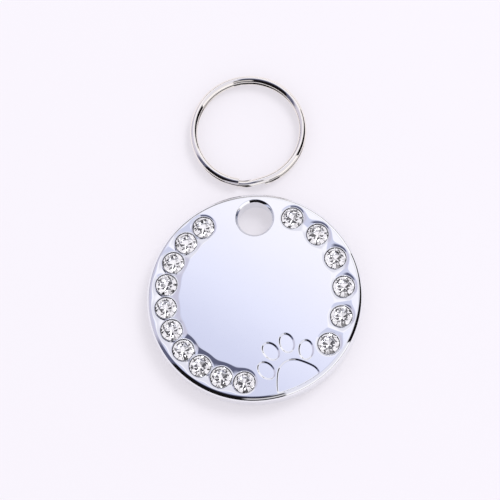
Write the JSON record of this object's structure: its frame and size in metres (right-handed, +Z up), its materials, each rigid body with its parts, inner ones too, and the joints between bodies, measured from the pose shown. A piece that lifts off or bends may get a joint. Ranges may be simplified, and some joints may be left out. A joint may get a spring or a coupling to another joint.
{
  "type": "pet id tag",
  "caption": "Round polished metal pet tag with rhinestones set along its edge, a sunken paw ornament, a ring hole and a loose split ring.",
  "frame": {"origin": "centre of the tag's flat back face, on which it lies", "axes": "+Z up through the face with the stones, +Y from the tag's centre to the ring hole and the split ring, +X to the right when the face is read"},
  "size_m": [0.03, 0.0482, 0.0033],
  "materials": {
    "tag_metal": "polished, plated zinc alloy",
    "stone_glass": "clear faceted glass with a silvered back",
    "stone_glue": "cured clear epoxy",
    "ring_steel": "polished, nickel-plated spring steel"
  },
  "bodies": {
    "tag": {"tag_blank": "tag_metal", "rhinestone_01": "stone_glass", "rhinestone_02": "stone_glass", "rhinestone_03": "stone_glass", "rhinestone_04": "stone_glass", "rhinestone_05": "stone_glass", "rhinestone_06": "stone_glass", "rhinestone_07": "stone_glass", "rhinestone_08": "stone_glass", "rhinestone_09": "stone_glass", "rhinestone_10": "stone_glass", "rhinestone_11": "stone_glass", "rhinestone_12": "stone_glass", "rhinestone_13": "stone_glass", "rhinestone_14": "stone_glass", "rhinestone_15": "stone_glass", "rhinestone_16": "stone_glass", "stone_glue_01": "stone_glue", "stone_glue_02": "stone_glue", "stone_glue_03": "stone_glue", "stone_glue_04": "stone_glue", "stone_glue_05": "stone_glue", "stone_glue_06": "stone_glue", "stone_glue_07": "stone_glue", "stone_glue_08": "stone_glue", "stone_glue_09": "stone_glue", "stone_glue_10": "stone_glue", "stone_glue_11": "stone_glue", "stone_glue_12": "stone_glue", "stone_glue_13": "stone_glue", "stone_glue_14": "stone_glue", "stone_glue_15": "stone_glue", "stone_glue_16": "stone_glue"},
    "ring": {"split_ring": "ring_steel"}
  },
  "joints": [
    {"name": "ring_lift", "type": "slide", "parent": "tag", "child": "ring", "axis": [0, 0, 1], "range_m": [0, 0.02]}
  ]
}
